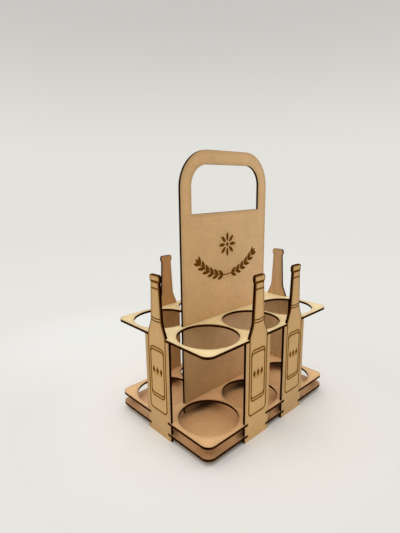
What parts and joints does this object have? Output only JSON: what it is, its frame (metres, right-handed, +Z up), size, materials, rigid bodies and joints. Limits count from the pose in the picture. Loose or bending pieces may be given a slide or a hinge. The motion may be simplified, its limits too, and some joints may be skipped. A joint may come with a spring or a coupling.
{
  "type": "bottle caddy",
  "caption": "Free-standing bottle caddy of slotted fibreboard panels, with round bays in two stacked plates, bottle-shaped side panels and a tall centre panel with a handle window.",
  "frame": {"origin": "on the surface that the caddy stands on, below the middle of its plates", "axes": "+X along the rows of bottles and the centre panel, +Y to the back, +Z up"},
  "size_m": [0.2246, 0.16, 0.3205],
  "materials": {
    "plate_board": "raw fibreboard with charred cut edges",
    "side_board": "raw fibreboard, engraved outside",
    "panel_board": "raw fibreboard, engraved in front"
  },
  "bodies": {
    "root": {"floor_plate": "plate_board", "ring_plate": "plate_board", "top_plate": "plate_board", "left_end": "side_board", "right_end": "side_board", "front_left": "side_board", "front_right": "side_board", "back_left": "side_board", "back_right": "side_board", "centre_panel": "panel_board"}
  },
  "joints": []
}
